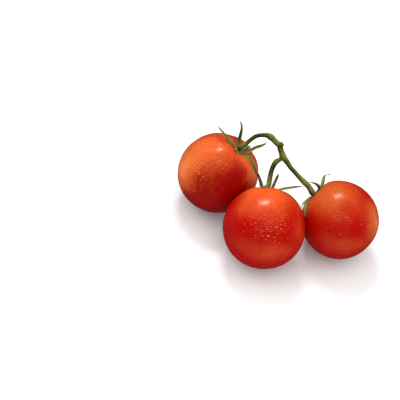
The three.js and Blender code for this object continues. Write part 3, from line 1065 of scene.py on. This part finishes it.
bpy.ops.object.select_all(action="DESELECT")
bpy.ops.mesh.primitive_uv_sphere_add(segments=10, ring_count=8, radius=1)
drop = bpy.context.object
bpy.ops.object.mode_set(mode="EDIT")
bpy.ops.mesh.select_all(action="SELECT")
bpy.ops.mesh.bisect(plane_co=(0, 0, DROP_FOOT), plane_no=(0, 0, 1), use_fill=True, clear_inner=True)
bpy.ops.mesh.select_all(action="SELECT")
bpy.ops.transform.resize(value=(1, 1, DROP_HEIGHT), center_override=(0, 0, 0))
bpy.ops.object.mode_set(mode="OBJECT")
DROP_CORNERS = [vertex.co.copy() for vertex in drop.data.vertices]
DROP_FACES = [tuple(face.vertices) for face in drop.data.polygons]
bpy.data.objects.remove(drop)
print("a drop has", len(DROP_FACES), "faces")

# %% Scatter the dew
MISTS = {
    "left": [((-0.78, -0.28, 0.56), 0.3, 900, 0.58), ((-0.3, -0.2, 0.93), 0.4, 220, 0.5)],
    "front": [
        ((0.04, -0.68, 0.74), 0.17, 70, 1.25),
        ((-0.05, -0.56, 0.83), 0.3, 260, 0.85),
        ((-0.1, -0.2, 0.97), 0.5, 90, 0.55),
        ((0.2, -0.7, 0.6), 0.8, 30, 0.6),
    ],
    "right": [
        ((-0.15, -0.62, 0.77), 0.1, 16, 0.75),
        ((-0.25, -0.1, 0.96), 0.25, 50, 0.7),
        ((0.1, -0.6, 0.75), 0.7, 34, 0.7),
    ],
}
KEY_DIRECTION = Vector((-0.191, 0.469, 0.8505))
DROP_SPACE = 1.2
DROP_STRAY = 0.8
SMALLEST_SHARE, SMALL_BIAS = 0.35, 1.3
CALYX_CLEAR, LOWEST_DROP = 0.5, -0.2
GLOW_MIDDLE, GLOW_SLOPE = 0.5, 0.55
DEW_SEED = 31


def crowded(fruit, kept, towards, size):
    """Whether a drop would come too near to one that is kept."""
    return any(
        (towards - other).length * fruit["radius"] < DROP_SPACE * (size + other_size)
        for other, other_size in kept
    )


def choose_drops(fruit, mists, draw):
    """Directions and sizes of drops that keep clear of each other and of the calyx."""
    kept = []
    for middle, spread, count, largest in mists:
        for _ in range(count):
            stray = Vector([draw.gauss(0, spread) for _ in range(3)]) * DROP_STRAY
            towards = (Vector(middle).normalized() + stray).normalized()
            size = largest * draw.uniform(SMALLEST_SHARE, 1) ** SMALL_BIAS
            under_calyx = towards.angle(fruit["core"]) < CALYX_CLEAR
            if under_calyx or towards.z < LOWEST_DROP or crowded(fruit, kept, towards, size):
                continue
            kept.append((towards, size))
    return kept


def drop_place(fruit, towards, size):
    """A matrix that stands the drop on the skin of a fruit."""
    polar = towards.angle(fruit["core"])
    turn = math.atan2(towards.dot(fruit["side"]), towards.dot(fruit["high"]))
    spot = fruit["centre"] + towards * skin_radius(fruit, polar, turn)
    upright = UP.rotation_difference(towards).to_matrix().to_4x4()
    return Matrix.Translation(spot * MM) @ upright @ Matrix.Scale(size * MM, 4)


def lay_dew(place, drops, water):
    """Copy the drop to its places on a fruit, as one mesh that carries the glow of each point."""
    corners, faces, glow = [], [], []
    for towards, size in drops:
        standing, start = drop_place(FRUITS[place], towards, size), len(corners)
        to_lamp = (KEY_DIRECTION - towards * KEY_DIRECTION.dot(towards)).normalized()
        for corner in DROP_CORNERS:
            corners.append(standing @ corner)
            towards_lamp = (corners[-1] - standing.translation).dot(to_lamp)
            glow.append(GLOW_MIDDLE - GLOW_SLOPE * towards_lamp / (size * MM))
        faces += [tuple(start + corner for corner in face) for face in DROP_FACES]
    dew = mesh_from(f"dew_{place}", corners, faces)
    dew.data.shade_smooth()
    dew.data.attributes.new("glow", "FLOAT", "POINT").data.foreach_set("value", glow)
    hand_over(dew, f"dew_{place}", water)


drops = {}
for seed, (place, mists) in enumerate(MISTS.items(), start=DEW_SEED):
    drops[place] = choose_drops(FRUITS[place], mists, random.Random(seed))
    print(place, "has", len(drops[place]), "drops")

# %% [markdown]
# ## Water on red skin
# A drop works as a small lens: it gathers the light on the side away from the lamp, where the skin
# under it glows, and the side near the lamp looks dark. Each drop carries this as a number called
# glow, from 0 to 1, so the water needs no refraction, which would be noisy in such small drops. The
# two colours are those of the skin under the drops, so each fruit has its own.

# %% Water
WATERS = {
    "left": ((0.6, 0.1, 0.015, 1), (0.95, 0.36, 0.1, 1)),
    "front": ((0.26, 0.003, 0.002, 1), (0.93, 0.13, 0.06, 1)),
    "right": ((0.38, 0.025, 0.005, 1), (0.82, 0.16, 0.05, 1)),
}


def water_material(place, dark, bright):
    """Water that goes from dark to bright by its glow."""
    water, tree, shader = start_material(f"water_{place}", Roughness=0.04, IOR=1.333, Alpha=0.8)
    glow = add_ramp(tree, read_paint(tree, "glow"), 0.12, 0.68)
    tree.links.new(add_mix(tree, glow, dark, bright), shader.inputs["Base Color"])
    return water


for place, chosen in drops.items():
    lay_dew(place, chosen, water_material(place, *WATERS[place]))

# %% [markdown]
# ## Table and light
# The floor is plain and pale. The skin doesn't mirror it, because its white would veil the lower
# halves of the fruits. A small lamp behind and above the truss gives the bright patch near the top
# of each fruit, and it is the only one that the skin mirrors. A wide ceiling gives most of the
# light, one weak lamp fills in from the front, and two light the sides. The room is nearly dark, so
# that the shadows stay.

# %% Floor
TABLE_WIDTH, TABLE_GAP = 8000, 0.2
TABLE_GREYS = ((0.79, 0.79, 0.79, 1), (0.83, 0.83, 0.83, 1))

bpy.ops.object.select_all(action="DESELECT")
bpy.ops.mesh.primitive_plane_add(size=TABLE_WIDTH * MM, location=(0, 0, -TABLE_GAP * MM))
floor = bpy.context.object
floor.name = "table_top"
bpy.ops.object.transform_apply(location=True)
paper, tree, shader = start_material("pale_table", Roughness=0.8)
paper_place = add_node(tree, "ShaderNodeTexCoord").outputs["Object"]
cloudy = add_noise(tree, paper_place, 9, 2)
tree.links.new(add_mix(tree, cloudy, *TABLE_GREYS), shader.inputs["Base Color"])
floor.data.materials.append(paper)
floor.visible_glossy = False

# %% Lights
MIRRORED = "key_light"
LIGHTS = {
    MIRRORED: {"towards": KEY_DIRECTION, "away": 950, "sides": (280, 150), "power": 4.0},
    "ceiling": {"towards": (0.0, -0.05, 1.0), "away": 1500, "sides": (2800, 2800), "power": 42.0},
    "front_light": {"towards": (0.1, -1.0, 0.5), "away": 1300, "sides": (1500, 900), "power": 8.0},
    "left_light": {"towards": (-0.9, 0.3, 0.35), "away": 1200, "sides": (1000, 1000), "power": 6.0},
    "right_light": {"towards": (0.9, 0.3, 0.35), "away": 1200, "sides": (1000, 1000), "power": 6.0},
}
ROOM_LIGHT = 0.04
for name, light in LIGHTS.items():
    towards = Vector(light["towards"]).normalized()
    bpy.ops.object.light_add(type="AREA", location=towards * light["away"] * MM)
    lamp = bpy.context.object
    lamp.name = name
    lamp.rotation_euler = towards.to_track_quat("Z", "Y").to_euler()
    lamp.data.shape = "RECTANGLE"
    lamp.data.size, lamp.data.size_y = (side * MM for side in light["sides"])
    lamp.data.energy = light["power"]
    lamp.visible_glossy = name == MIRRORED
world = bpy.data.worlds.new("pale_room")
world.use_nodes = True
world.node_tree.nodes["Background"].inputs["Color"].default_value = (1, 1, 1, 1)
world.node_tree.nodes["Background"].inputs["Strength"].default_value = ROOM_LIGHT
bpy.context.scene.world = world
bpy.context.scene.view_settings.view_transform = "Standard"
print("lights:", list(LIGHTS))
